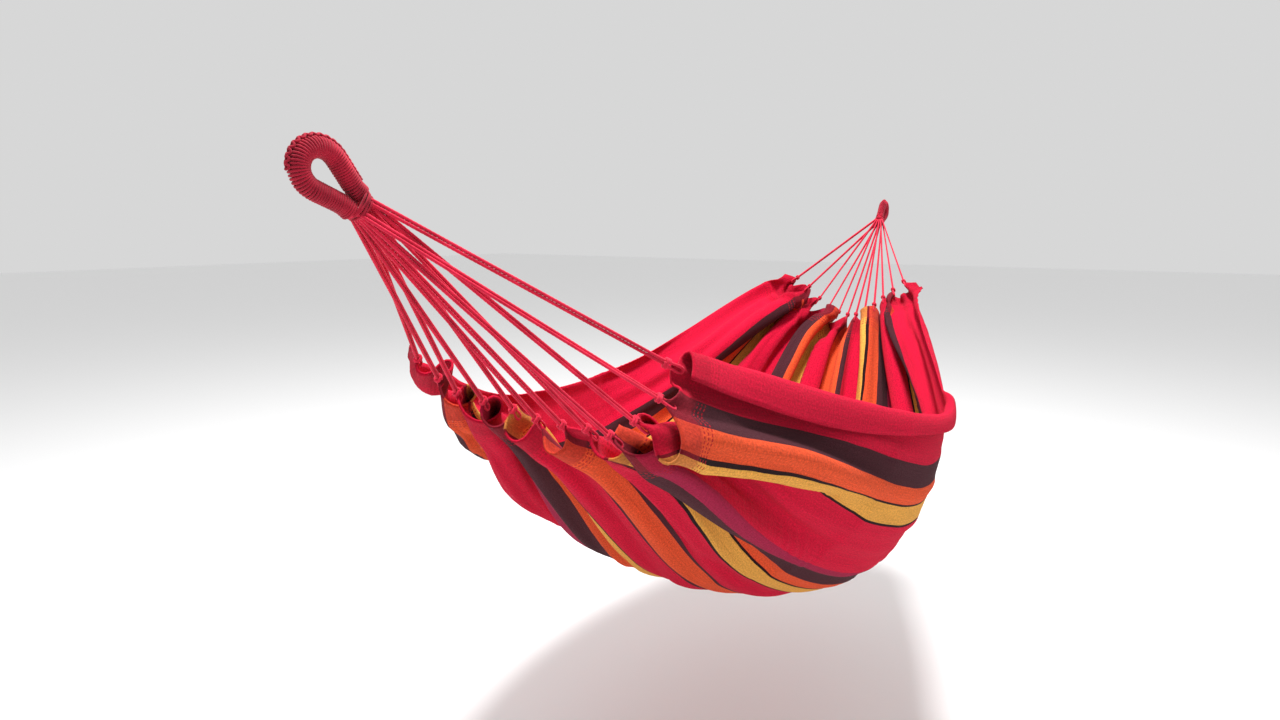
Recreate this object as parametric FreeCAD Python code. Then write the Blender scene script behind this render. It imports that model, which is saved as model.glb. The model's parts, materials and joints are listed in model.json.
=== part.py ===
"""A striped cloth hammock hung between two hooks.

Twelve doubled cords at each end fan out from a whipped rope loop to the gathered end of the cloth.
The origin is the seat of the head hook: the inside of the head loop's bend, where the hook bears.
+X runs from the head loop to the foot loop, +Z is up, and the hammock hangs as it rests, empty.
Each end is drawn once, at the head, and mirrored in X for the foot. Sizes are in millimetres.
"""
import FreeCAD
import Part
import math
import os

from FreeCAD import Vector

# Hang: hook seats, the pull of the loops and the pivots at the necks
HOOK_SPAN = 2620.0
PULL_ANGLE = 40.0            # each loop points this far below the horizontal
SEAT_TO_NECK = 90.0          # from the hook seat to the pivot where the loop ends and the cords begin

# Loop: a bundle of strands bent round a teardrop eye, whipped with cord
CORD_DIAMETER = 5.0
CORE_RADIUS = 9.7            # twelve strands packed together
WHIPPING_RADIUS = 14.5
WHIPPING_CLEARANCE = 0.2
EYE_RADIUS = 14.0            # inside of the round end
LEG_SPREAD = 14.8            # from the loop's centre line to a leg's centre, where the legs lie side by side
LEGS_MEET = 64.0             # from the seat to where the legs become parallel
LEGS_END = 80.0
CORE_BEYOND_LEGS = 2.0       # the bundle shows this far past the whipping
LEG_BEND_RADIUS = 40.0
RIDGE_RADIUS = 3.0
RIDGE_ANGLE = 112.0          # the hitched ridge runs this far to each side of the loop's crown
SEIZING_START = 67.0
SEIZING_LENGTH = 10.0
SEIZING_THICKNESS = 4.0
SEIZING_CLEARANCE = 0.3

# Doubled cords: (sideways angle, angle below the horizontal) from the neck, in degrees, from +Y to -Y
HEAD_FAN = ((44, 34), (38, 39), (32, 42.5), (23, 44.5), (12, 46), (2, 47.5),
            (-9, 47.5), (-20, 46.5), (-32, 45.5), (-38, 40.5), (-42, 34.5), (-36, 28.5))
FOOT_FAN = ((23, 25), (17, 29), (13, 35), (9, 39.5), (4, 42.5), (-1, 44),
            (-6, 43.5), (-11, 41.5), (-16, 37), (-20, 33), (-24, 29), (-28, 25))
CORD_REACH = 550.0           # from the neck to the far side of the bight
BIGHT_RADIUS = 6.5           # centre line, round the pinched edge of the cloth
KNOT_SETBACK = 34.0          # from the bight's far side back to the knot
KNOT_HALF_GAP = 2.8          # half the distance between the two legs inside the knot
KNOT_RING_RADIUS = 8.4
KNOT_BEND_RADIUS = 25.0
COLUMNS = 6                  # the legs leave the neck in six columns of four
COLUMN_PITCH = 5.7
ROW_HEIGHTS = (14.2, 8.5, -8.5, -14.2)

# Cloth: gathered at its ends, spread and sagging in the middle
CLOTH_THICKNESS = 6.0        # the soft solid's, folds included; the cloth itself is about 1 mm
CLOTH_SETBACK = 3.0          # from the bights to the gathered edge
LEFT_BULGE = 320.0           # how far the +Y edge stands out at its widest
RIGHT_BULGE = 288.0
LEFT_SAG = 250.0
RIGHT_SAG = 225.0
MIDDLE_SAG = 710.0
LEFT_FULLNESS = 0.58         # under 1 makes the +Y edge fuller towards its ends
RIGHT_WIDEST = 0.487         # share of the length where the -Y edge stands out most
RIGHT_SHARPNESS = 9.0        # a higher value keeps that edge straighter, with a sharper turn at its widest
RIGHT_FOOT_FULLNESS = 0.70   # under 1 bends that edge outwards between its widest place and the foot
LEFT_LOWEST = 0.27           # share of the length where the cloth hangs lowest, near the +Y edge
RIGHT_LOWEST = 0.70          # and near the -Y edge
MIDDLE_SHARPNESS = 5.5
LEFT_FLATNESS = 0.55         # under 1 gives a flatter bottom and steeper sides
RIGHT_FLATNESS = 0.58
STATIONS_ALONG = (0, 0.04, 0.1, 0.17, 0.25, 0.33, 0.41, 0.49, 0.57, 0.65, 0.73, 0.82, 0.91, 0.97, 1)
STATIONS_ACROSS = 23
CUBIC = 3                    # the degree of the cloth's surfaces
SLOPE_SHARE = 0.01           # of the cloth's width and length, to measure its slope over

TOUCHING = 1e-6              # points nearer than this are the same
VOLUME_TOLERANCE = 0.01      # share by which a tube may differ from its section times its length

PULL = math.radians(PULL_ANGLE)
ALONG = Vector(math.cos(PULL), 0, -math.sin(PULL))
ACROSS = Vector(math.sin(PULL), 0, math.cos(PULL))
HEAD_NECK = ALONG * SEAT_TO_NECK
FOOT_NECK = Vector(HOOK_SPAN - HEAD_NECK.x, 0, HEAD_NECK.z)


def in_loop(along, across, y=0.0):
    """A point of the head loop: along its axis from the seat, across its plane, and out of its plane."""
    return ALONG * along + ACROSS * across + Vector(0, y, 0)


def rounded_path(points, radii):
    """Straight runs joined by tangent arcs: radii[i] is the arc's at points[i + 1]."""
    edges = []
    here = points[0]
    for i, radius in enumerate(radii):
        corner, after = points[i + 1], points[i + 2]
        back = (points[i] - corner).normalize()
        onward = (after - corner).normalize()
        turn = math.pi - back.getAngle(onward)
        reach = radius * math.tan(turn / 2)
        start = corner + back * reach
        end = corner + onward * reach
        bisector = (back + onward).normalize()
        middle = corner + bisector * (radius / math.cos(turn / 2) - radius)
        if here.distanceToPoint(start) > TOUCHING:
            edges.append(Part.LineSegment(here, start).toShape())
        edges.append(Part.Arc(start, middle, end).toShape())
        here = end
    if here.distanceToPoint(points[-1]) > TOUCHING:
        edges.append(Part.LineSegment(here, points[-1]).toShape())
    return Part.Wire(edges)


def tube(path, radius):
    """A round solid swept along a path of runs and tangent arcs."""
    start = path.Edges[0]
    at = start.valueAt(start.FirstParameter)
    tangent = start.tangentAt(start.FirstParameter)
    ring = Part.Wire([Part.Circle(at, tangent, radius).toShape()])
    solid = path.makePipeShell([ring], True, True)
    expected = math.pi * radius ** 2 * path.Length
    if not solid.isValid() or abs(solid.Volume / expected - 1) > VOLUME_TOLERANCE:
        raise ValueError("a tube's volume is not its section times its length")
    return solid


def teardrop(knee, half_gap, crown, radius):
    """Half the width, at its crown, of the corner-to-corner outline round an eye of that radius.

    The eye's sides come together at distance `knee`, half_gap from the middle; its round end is at `crown`.
    """
    to_centre = abs(knee - crown) - radius
    lean = math.asin(radius / math.hypot(to_centre, half_gap)) - math.atan2(half_gap, to_centre)
    return half_gap + abs(knee - crown) * math.tan(lean)


def loop_path(first):
    """The loop's centre line: up one leg from distance `first`, round the eye and down the other leg."""
    radius = EYE_RADIUS + WHIPPING_RADIUS
    crown = -WHIPPING_RADIUS
    corner = teardrop(LEGS_MEET, LEG_SPREAD, crown, radius)
    points = [in_loop(first, LEG_SPREAD), in_loop(LEGS_MEET, LEG_SPREAD),
              in_loop(crown, corner), in_loop(crown, -corner),
              in_loop(LEGS_MEET, -LEG_SPREAD), in_loop(first, -LEG_SPREAD)]
    return rounded_path(points, [LEG_BEND_RADIUS, radius, radius, LEG_BEND_RADIUS])


def loop_core():
    """The strands that pass round the hook, as one round bundle."""
    return tube(loop_path(LEGS_END + CORE_BEYOND_LEGS), CORE_RADIUS)


def loop_whipping():
    """The close turns of cord round the bundle, as a sleeve."""
    path = loop_path(LEGS_END)
    return tube(path, WHIPPING_RADIUS).cut(tube(path, CORE_RADIUS + WHIPPING_CLEARANCE))


def loop_ridge():
    """The raised row of hitches along the outside of the loop's round end."""
    radius = EYE_RADIUS + 2 * WHIPPING_RADIUS + RIDGE_RADIUS + WHIPPING_CLEARANCE
    points = []
    for step in (-1, 0, 1):
        angle = math.radians(step * RIDGE_ANGLE)
        points.append(in_loop(EYE_RADIUS - radius * math.cos(angle), radius * math.sin(angle)))
    return tube(Part.Wire([Part.Arc(*points).toShape()]), RIDGE_RADIUS)


def racetrack(along, radius):
    """A face round both legs of the loop, square to its axis."""
    ends = []
    for side in (1, -1):
        near = in_loop(along, side * LEG_SPREAD, side * radius)
        middle = in_loop(along, side * (LEG_SPREAD + radius))
        far = in_loop(along, side * LEG_SPREAD, -side * radius)
        ends.append((near, middle, far))
    edges = []
    for this, following in ((ends[0], ends[1]), (ends[1], ends[0])):
        edges.append(Part.Arc(*this).toShape())
        edges.append(Part.LineSegment(this[2], following[0]).toShape())
    return Part.Face(Part.Wire(edges))


def neck_seizing():
    """The flat binding that holds the loop's two legs side by side."""
    inner = WHIPPING_RADIUS + SEIZING_CLEARANCE
    ring = racetrack(SEIZING_START, inner + SEIZING_THICKNESS).cut(racetrack(SEIZING_START, inner))
    return ring.extrude(ALONG * SEIZING_LENGTH)


def fan_direction(angles):
    """The way a cord points from the head neck, for its sideways angle and its angle of fall."""
    sideways, fall = (math.radians(a) for a in angles)
    return Vector(math.cos(fall) * math.cos(sideways), math.cos(fall) * math.sin(sideways), -math.sin(fall))


def neck_starts(index):
    """Where the two legs of a doubled cord leave the neck: the upper leg's place, then the lower one's."""
    column = index // 2
    outermost = index % 2 == (0 if index < COLUMNS else 1)
    rows = ROW_HEIGHTS[:2] if outermost else ROW_HEIGHTS[2:]
    sideways = ((COLUMNS - 1) / 2 - column) * COLUMN_PITCH
    return [in_loop(SEAT_TO_NECK, row, sideways) for row in rows]


def cord_points(index, fan):
    """The route of a doubled cord: down one leg, through its knot, round the bight and back."""
    direction = fan_direction(fan[index])
    edge = fan_direction(fan[min(index + 1, len(fan) - 1)]) - fan_direction(fan[max(index - 1, 0)])
    upwards = (ACROSS - direction * direction.dot(ACROSS)).normalize()
    aside = direction.cross(edge).normalize()
    if aside.dot(ACROSS) < 0:
        aside = -aside
    aside = (aside + upwards).normalize()
    upper, lower = neck_starts(index)
    corner = teardrop(CORD_REACH - KNOT_SETBACK, KNOT_HALF_GAP, CORD_REACH, BIGHT_RADIUS)
    knot = HEAD_NECK + direction * (CORD_REACH - KNOT_SETBACK)
    tip = HEAD_NECK + direction * CORD_REACH
    return [upper, knot + aside * KNOT_HALF_GAP, tip + aside * corner,
            tip - aside * corner, knot - aside * KNOT_HALF_GAP, lower]


def doubled_cord(index, fan):
    """One cord, taut from the neck to the cloth's edge and back."""
    radii = [KNOT_BEND_RADIUS, BIGHT_RADIUS, BIGHT_RADIUS, KNOT_BEND_RADIUS]
    return tube(rounded_path(cord_points(index, fan), radii), CORD_DIAMETER / 2)


def cord_knots(fan):
    """The knot that closes each bight: a turn of the same cord round its two legs."""
    knots = []
    for angles in fan:
        direction = fan_direction(angles)
        centre = HEAD_NECK + direction * (CORD_REACH - KNOT_SETBACK)
        knots.append(Part.makeTorus(KNOT_RING_RADIUS, CORD_DIAMETER / 2, centre, direction))
    return Part.makeCompound(knots)


def mirrored(shape):
    """The same thing at the foot."""
    return shape.mirror(Vector(HOOK_SPAN / 2, 0, 0), Vector(1, 0, 0))


def gathered_edge(across, fan):
    """A point of the cloth's gathered edge, from 0 at the +Y corner to 1 at the -Y corner."""
    place = across * (len(fan) - 1)
    before = min(int(place), len(fan) - 2)
    share = place - before
    angles = [a + (b - a) * share for a, b in zip(fan[before], fan[before + 1])]
    return HEAD_NECK + fan_direction(angles) * (CORD_REACH + CORD_DIAMETER / 2 + CLOTH_SETBACK)


def peaked(share, peak, sharpness, fullness=1.0):
    """A rise from 0 to 1 at the peak and a fall to 0, both nearly straight, with a rounded turn between.

    A fullness under 1 bends the fall outwards.
    """
    rise, fall = share / peak, ((1 - share) / (1 - peak)) ** fullness
    height = -math.log(math.exp(-sharpness * rise) + math.exp(-sharpness * fall)) / sharpness
    low = -math.log1p(math.exp(-sharpness)) / sharpness
    high = 1 - math.log(2) / sharpness
    return max((height - low) / (high - low), 0)


def cloth_point(across, along):
    """A point of the hanging cloth: across from the +Y edge to the -Y edge, along from head to foot."""
    head = gathered_edge(across, HEAD_FAN)
    foot = gathered_edge(across, FOOT_FAN)
    foot.x = HOOK_SPAN - foot.x
    point = head * (1 - along) + foot * along
    side = math.cos(across * math.pi)
    rightness = min(max(0.5 - side, 0), 1)
    rightness = rightness ** 2 * (3 - 2 * rightness)
    left_edge = math.sin(math.pi * along) ** LEFT_FULLNESS
    right_edge = peaked(along, RIGHT_WIDEST, RIGHT_SHARPNESS, RIGHT_FOOT_FULLNESS)
    edges = left_edge * (1 - rightness) + right_edge * rightness
    lowest = LEFT_LOWEST * (1 - across) + RIGHT_LOWEST * across
    middle = peaked(along, lowest, MIDDLE_SHARPNESS)
    if side > 0:
        bulge, sag, flatness = LEFT_BULGE, LEFT_SAG, LEFT_FLATNESS
    else:
        bulge, sag, flatness = RIGHT_BULGE, RIGHT_SAG, RIGHT_FLATNESS
    basin = math.sin(across * math.pi) ** flatness
    point.y += edges * bulge * side
    point.z -= middle * MIDDLE_SAG * basin + edges * sag * (1 - basin)
    return point


def smooth_surface(grid):
    """A cubic surface drawn by a net of points, which it meets at its four corners."""
    knots, mults = [], []
    for count in (len(grid), len(grid[0])):
        spans = count - CUBIC
        knots.append([float(k) for k in range(spans + 1)])
        mults.append([CUBIC + 1] + [1] * (spans - 1) + [CUBIC + 1])
    surface = Part.BSplineSurface()
    surface.buildFromPolesMultsKnots(grid, mults[0], mults[1], knots[0], knots[1], False, False, CUBIC, CUBIC)
    return surface


def bed_cloth():
    """The cloth as one thin trough."""
    inner, outer = [], []
    for along in STATIONS_ALONG:
        above, below = [], []
        for i in range(STATIONS_ACROSS):
            across = i / (STATIONS_ACROSS - 1)
            headward, footward = max(along - SLOPE_SHARE, 0), min(along + SLOPE_SHARE, 1)
            leftward, rightward = max(across - SLOPE_SHARE, 0), min(across + SLOPE_SHARE, 1)
            lengthwise = cloth_point(across, footward) - cloth_point(across, headward)
            crosswise = cloth_point(rightward, along) - cloth_point(leftward, along)
            normal = crosswise.cross(lengthwise).normalize() * (CLOTH_THICKNESS / 2)
            point = cloth_point(across, along)
            above.append(point + normal)
            below.append(point - normal)
        inner.append(above)
        outer.append(below)
    surfaces = [smooth_surface(grid) for grid in (inner, outer)]
    faces = [surface.toShape() for surface in surfaces]
    low_u, high_u, low_v, high_v = surfaces[0].bounds()
    rims = [Part.makeRuledSurface(*(s.uIso(u).toShape() for s in surfaces)) for u in (low_u, high_u)]
    rims += [Part.makeRuledSurface(*(s.vIso(v).toShape() for s in surfaces)) for v in (low_v, high_v)]
    shell = Part.makeShell(faces + rims)
    shell.sewShape()
    solid = Part.makeSolid(Part.Shell(shell.Faces))
    if solid.Volume < 0:
        solid.reverse()
    return solid


def build():
    """Every piece, by its name."""
    pieces = {"bed_cloth": bed_cloth()}
    loop = {"loop_core": loop_core(), "loop_whipping": loop_whipping(),
            "loop_ridge": loop_ridge(), "neck_seizing": neck_seizing()}
    for name, shape in loop.items():
        pieces["head_" + name] = shape
        pieces["foot_" + name] = mirrored(shape)
    pieces["head_cord_knots"] = cord_knots(HEAD_FAN)
    pieces["foot_cord_knots"] = mirrored(cord_knots(FOOT_FAN))
    for index in range(len(HEAD_FAN)):
        pieces[f"head_cord_{index + 1:02d}"] = doubled_cord(index, HEAD_FAN)
        pieces[f"foot_cord_{index + 1:02d}"] = mirrored(doubled_cord(index, FOOT_FAN))
    return pieces


os.makedirs("parts", exist_ok=True)
for name, shape in build().items():
    if not shape.isValid():
        raise ValueError(name + " isn't a valid solid")
    shape.exportStep(f"parts/{name}.step")
print("a cord's arcs have radii of", KNOT_BEND_RADIUS, "mm at its knot and", BIGHT_RADIUS, "mm in its bight")
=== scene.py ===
"""The looks of the striped cloth hammock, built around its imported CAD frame.

Metres, in the part's own frame: origin at the head hook's seat, +X to the foot hook, +Z up.
"""
import math
import random
import json

import bpy
import numpy as np
from mathutils import Euler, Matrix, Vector


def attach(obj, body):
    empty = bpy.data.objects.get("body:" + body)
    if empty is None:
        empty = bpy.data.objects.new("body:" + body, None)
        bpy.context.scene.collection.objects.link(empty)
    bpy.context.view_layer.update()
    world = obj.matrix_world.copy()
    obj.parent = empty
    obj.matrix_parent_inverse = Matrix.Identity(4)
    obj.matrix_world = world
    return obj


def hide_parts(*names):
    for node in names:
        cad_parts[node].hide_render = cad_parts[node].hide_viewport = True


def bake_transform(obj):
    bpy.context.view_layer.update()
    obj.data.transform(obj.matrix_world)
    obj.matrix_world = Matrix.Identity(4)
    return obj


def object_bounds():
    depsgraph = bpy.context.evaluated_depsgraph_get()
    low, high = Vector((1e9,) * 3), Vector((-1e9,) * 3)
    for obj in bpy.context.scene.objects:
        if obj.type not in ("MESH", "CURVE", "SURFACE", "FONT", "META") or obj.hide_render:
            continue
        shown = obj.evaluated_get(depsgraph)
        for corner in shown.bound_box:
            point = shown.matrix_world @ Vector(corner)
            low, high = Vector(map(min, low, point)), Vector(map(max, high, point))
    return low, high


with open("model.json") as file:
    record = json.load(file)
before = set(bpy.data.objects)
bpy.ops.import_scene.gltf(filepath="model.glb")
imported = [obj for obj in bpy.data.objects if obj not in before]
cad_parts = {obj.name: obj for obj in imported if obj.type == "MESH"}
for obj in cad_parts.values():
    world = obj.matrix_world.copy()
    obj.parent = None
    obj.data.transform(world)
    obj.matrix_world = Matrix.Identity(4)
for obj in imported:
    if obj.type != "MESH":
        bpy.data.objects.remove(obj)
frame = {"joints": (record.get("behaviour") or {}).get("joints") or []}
cad_box = [list(corner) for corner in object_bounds()]
rng = random.Random(7)
scene = bpy.context.scene

# ---------------------------------------------------------------- the hammock's own sizes
hinges = {joint["name"]: joint for joint in frame["joints"]}
HEAD_NECK = Vector(hinges["bed_swing"]["pos_m"])
FOOT_NECK = Vector(hinges["foot_loop_swivel"]["pos_m"])
MIRROR_X = HEAD_NECK.x + FOOT_NECK.x
SEAT_TO_NECK = HEAD_NECK.length
ALONG = HEAD_NECK.normalized()
ACROSS = Vector((-ALONG.z, 0, ALONG.x))
SIDE = Vector((0, 1, 0))

CORD_DIAMETER = 0.005
WHIPPING_RADIUS = 0.0145
WHIP_CORD = 0.0036
EYE_RADIUS = 0.014
LEG_SPREAD = 0.0148
LEGS_MEET = 0.064
LEGS_END = 0.080

HEAD_FAN = ((44, 34), (38, 39), (32, 42.5), (23, 44.5), (12, 46), (2, 47.5),
            (-9, 47.5), (-20, 46.5), (-32, 45.5), (-38, 40.5), (-42, 34.5), (-36, 28.5))
FOOT_FAN = ((23, 25), (17, 29), (13, 35), (9, 39.5), (4, 42.5), (-1, 44),
            (-6, 43.5), (-11, 41.5), (-16, 37), (-20, 33), (-24, 29), (-28, 25))
CORD_REACH = 0.550
BIGHT_RADIUS = 0.0065
KNOT_SETBACK = 0.034
KNOT_HALF_GAP = 0.0028
COLUMN_PITCH = 0.0057
ROW_HEIGHTS = (0.0142, 0.0085, -0.0085, -0.0142)
STRAIGHT_END = 0.030         # a tight leg stays straight until this close to its knot
CORDS = 12
CORD_LAY = 0.021             # length of one turn of a cord's strands
WHIP_LAY = 0.007

RIDGE_SETBACK = 0.004
RIDGE_HITCH = 0.0062         # length of one half hitch
RIDGE_START, RIDGE_STOP = 0.06, 0.60         # shares of the loop's length that carry the ridge
RIDGE_WIDTH, RIDGE_HEIGHT = 0.0034, 0.0013   # how far its strands swing aside and outwards
RIDGE_LIFT = 0.0012
SEIZING_TURNS = 5
SEIZING_RADIUS = 0.0152
SEIZING_HALF = 0.0055        # half of the flat part between its two round ends
SEIZING_START, SEIZING_STEP = 0.0775, 0.0021
SEIZING_LEAN, SEIZING_SWELL = 0.0034, 0.07

CLOTH_WIDTH = 1.80
CLOTH_LENGTH = 2.24

# ---------------------------------------------------------------- camera
CAMERA_PLACE = Vector((-0.530, -0.874, -0.084))
CAMERA_HEADING = 34.36       # degrees from +X towards +Y
CAMERA_FALL = 10.66
SENSOR = 36.0
LENS = 19.69


def make_camera():
    data = bpy.data.cameras.new("camera")
    data.sensor_width = SENSOR
    data.lens = LENS
    data.clip_start = 0.05
    data.clip_end = 60
    camera = bpy.data.objects.new("camera", data)
    scene.collection.objects.link(camera)
    camera.location = CAMERA_PLACE
    tilt = math.radians(90 - CAMERA_FALL)
    camera.rotation_euler = Euler((tilt, 0, math.radians(CAMERA_HEADING - 90)))
    scene.camera = camera


make_camera()


# ---------------------------------------------------------------- mesh helpers
def add_mesh(name, points, faces, material=None):
    mesh = bpy.data.meshes.new(name)
    mesh.from_pydata([tuple(p) for p in points], [], faces)
    mesh.update()
    piece = bpy.data.objects.new(name, mesh)
    scene.collection.objects.link(piece)
    mesh.polygons.foreach_set("use_smooth", [True] * len(mesh.polygons))
    if material is not None:
        mesh.materials.append(material)
    return piece


def nurbs_line(points, resolution=24):
    """Points read from the smooth NURBS line that has these control points."""
    curve = bpy.data.curves.new("route", "CURVE")
    curve.dimensions = "3D"
    curve.resolution_u = resolution
    spline = curve.splines.new("NURBS")
    spline.points.add(len(points) - 1)
    for place, point in zip(spline.points, points):
        place.co = (*point, 1.0)
    spline.order_u = 3
    spline.use_endpoint_u = True
    holder = bpy.data.objects.new("route", curve)
    scene.collection.objects.link(holder)
    bpy.context.view_layer.update()
    mesh = bpy.data.meshes.new_from_object(holder.evaluated_get(bpy.context.evaluated_depsgraph_get()))
    line = np.array([v.co[:] for v in mesh.vertices])
    bpy.data.meshes.remove(mesh)
    bpy.data.objects.remove(holder)
    bpy.data.curves.remove(curve)
    return line


def even_steps(line, step):
    """The same line with points a step apart."""
    seams = np.r_[0, np.cumsum(np.linalg.norm(np.diff(line, axis=0), axis=1))]
    count = max(2, int(round(seams[-1] / step)) + 1)
    at = np.linspace(0, seams[-1], count)
    return np.stack([np.interp(at, seams, line[:, k]) for k in range(3)], 1)


def carried_frames(line, first=None):
    """Tangents and two sideways directions along a line, with no twist of their own."""
    tangents = np.gradient(line, axis=0)
    tangents /= np.linalg.norm(tangents, axis=1)[:, None]
    start = np.array(first if first is not None else (0.0, 0.0, 1.0))
    start = start - tangents[0] * (start @ tangents[0])
    if np.linalg.norm(start) < 1e-6:
        start = np.cross(tangents[0], (1.0, 0.0, 0.0))
    normal = start / np.linalg.norm(start)
    normals = []
    for tangent in tangents:
        normal = normal - tangent * (normal @ tangent)
        normal = normal / np.linalg.norm(normal)
        normals.append(normal)
    normals = np.array(normals)
    return tangents, normals, np.cross(tangents, normals)


def twisted_tube(line, radius, pitch, lobes=3, depth=0.12, sides=12, phase=0.0):
    """Points and faces of a laid cord: a round section with a lobe for each strand, turning as it goes."""
    _, normals, binormals = carried_frames(line)
    lengths = np.r_[0, np.cumsum(np.linalg.norm(np.diff(line, axis=0), axis=1))]
    angles = np.arange(sides) * 2 * math.pi / sides
    points = []
    for i, centre in enumerate(line):
        turn = 2 * math.pi * lengths[i] / pitch + phase
        swell = radius * (1 - depth + depth * np.abs(np.cos(lobes * (angles - turn) / 2)) * 1.6)
        ring = (centre + swell[:, None] * (np.cos(angles)[:, None] * normals[i]
                                           + np.sin(angles)[:, None] * binormals[i]))
        points.extend(ring)
    faces = []
    for i in range(len(line) - 1):
        for k in range(sides):
            after = (k + 1) % sides
            faces.append((i * sides + k, i * sides + after, (i + 1) * sides + after, (i + 1) * sides + k))
    faces.append(tuple(reversed(range(sides))))
    last = (len(line) - 1) * sides
    faces.append(tuple(last + k for k in range(sides)))
    return points, faces


def merged(parts):
    """Several (points, faces) as one."""
    points, faces = [], []
    for some, around in parts:
        base = len(points)
        points.extend(some)
        faces.extend(tuple(base + i for i in face) for face in around)
    return points, faces


def in_loop(along, across, y=0.0):
    """A point of the head loop: along its axis from the seat, across its plane, and out of its plane."""
    return ALONG * along + ACROSS * across + SIDE * y


def at_foot(point):
    return Vector((MIRROR_X - point[0], point[1], point[2]))


# ---------------------------------------------------------------- materials
class Shader:
    """A small helper to build one material's node tree."""

    def __init__(self, name):
        self.material = bpy.data.materials.new(name)
        self.material.use_nodes = True
        self.nodes = self.material.node_tree.nodes
        self.links = self.material.node_tree.links
        self.surface = self.nodes["Principled BSDF"]

    def add(self, kind, **settings):
        node = self.nodes.new(kind)
        for key, value in settings.items():
            if key in node.inputs:
                node.inputs[key].default_value = value
            else:
                setattr(node, key, value)
        return node

    def link(self, source, output, target, socket):
        self.links.new(source.outputs[output], target.inputs[socket])

    def math(self, operation, first, second=None):
        node = self.add("ShaderNodeMath", operation=operation)
        for socket, value in enumerate((first, second)):
            if value is None:
                continue
            if isinstance(value, (int, float)):
                node.inputs[socket].default_value = value
            else:
                self.links.new(value, node.inputs[socket])
        return node.outputs[0]

    def mix(self, share, first, second, blend="MIX"):
        node = self.add("ShaderNodeMix", data_type="RGBA", blend_type=blend)
        for socket, value in ((0, share), (6, first), (7, second)):
            if isinstance(value, (int, float, tuple)):
                node.inputs[socket].default_value = value
            else:
                self.links.new(value, node.inputs[socket])
        return node.outputs[2]


def rgb(red, green, blue):
    """An sRGB colour, 0 to 255, as the shader's linear colour."""
    linear = []
    for value in (red, green, blue):
        share = value / 255
        linear.append(share / 12.92 if share <= 0.04045 else ((share + 0.055) / 1.055) ** 2.4)
    return (*linear, 1.0)


def cord_material(name, lit, shaded, yarn_scale=900.0, bump=0.35):
    """Soft cotton cord: fine yarn across it, blotches of painted light and shade between a lit and a shaded
    red, a little fuzz.
    """
    s = Shader(name)
    s.surface.inputs["Roughness"].default_value = 0.85
    s.surface.inputs["Sheen Weight"].default_value = 0.12
    s.surface.inputs["Sheen Roughness"].default_value = 0.5
    s.surface.inputs["Specular IOR Level"].default_value = 0.2
    place = s.add("ShaderNodeTexCoord")
    blotch = s.add("ShaderNodeTexNoise", Scale=28.0, Detail=3.0, Roughness=0.6)
    s.link(place, "Object", blotch, "Vector")
    yarn = s.add("ShaderNodeTexNoise", Scale=yarn_scale, Detail=2.0, Roughness=0.7)
    s.link(place, "Object", yarn, "Vector")
    ramp = s.add("ShaderNodeMapRange", **{"From Min": 0.3, "From Max": 0.7})
    s.link(blotch, "Fac", ramp, "Value")
    # painted light and shade: noise blotches mix the shaded copy of the red into the lit copy
    colour = s.mix(ramp.outputs["Result"], shaded, lit)
    grain = s.add("ShaderNodeMapRange",
                  **{"From Min": 0.25, "From Max": 0.75, "To Min": 0.78, "To Max": 1.12})
    s.link(yarn, "Fac", grain, "Value")
    tone = s.add("ShaderNodeCombineColor")
    for channel in ("Red", "Green", "Blue"):
        s.link(grain, "Result", tone, channel)
    colour = s.mix(1.0, colour, tone.outputs["Color"], "MULTIPLY")
    s.links.new(colour, s.surface.inputs["Base Color"])
    height = s.add("ShaderNodeBump", Strength=bump, Distance=0.0004)
    s.link(yarn, "Fac", height, "Height")
    s.link(height, "Normal", s.surface, "Normal")
    return s.material


# each cord red is given as a lit and a shaded copy, mixed in blotches as painted light and shade
CORD_RED = cord_material("cord_red", rgb(226, 38, 72), rgb(190, 20, 52))
WHIP_RED = cord_material("whip_red", rgb(188, 26, 54), rgb(140, 14, 38), yarn_scale=1100.0, bump=0.45)


# ---------------------------------------------------------------- the doubled cords
def fan_direction(angles):
    sideways, fall = (math.radians(a) for a in angles)
    return Vector((math.cos(fall) * math.cos(sideways), math.cos(fall) * math.sin(sideways), -math.sin(fall)))


def is_upper(index):
    """Whether a doubled cord belongs to the loop's upper leg."""
    return index % 2 == (0 if index < CORDS // 2 else 1)


def neck_starts(index):
    """Where the two legs of a doubled cord leave the neck: the upper leg's place, then the lower one's."""
    column = index // 2
    rows = ROW_HEIGHTS[:2] if is_upper(index) else ROW_HEIGHTS[2:]
    sideways = (2.5 - column) * COLUMN_PITCH
    return [in_loop(SEAT_TO_NECK, row, sideways) for row in rows]


def half_crown():
    """Half the width, at its crown, of the outline round a bight."""
    to_centre = KNOT_SETBACK - BIGHT_RADIUS
    lean = (math.asin(BIGHT_RADIUS / math.hypot(to_centre, KNOT_HALF_GAP))
            - math.atan2(KNOT_HALF_GAP, to_centre))
    return KNOT_HALF_GAP + KNOT_SETBACK * math.tan(lean)


def bight_side(index, fan):
    """The direction from one leg of a doubled cord to the other at its bight."""
    direction = fan_direction(fan[index])
    edge = fan_direction(fan[min(index + 1, len(fan) - 1)]) - fan_direction(fan[max(index - 1, 0)])
    upwards = (ACROSS - direction * direction.dot(ACROSS)).normalized()
    aside = direction.cross(edge).normalized()
    if aside.dot(ACROSS) < 0:
        aside = -aside
    return (aside + upwards).normalized()


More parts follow.
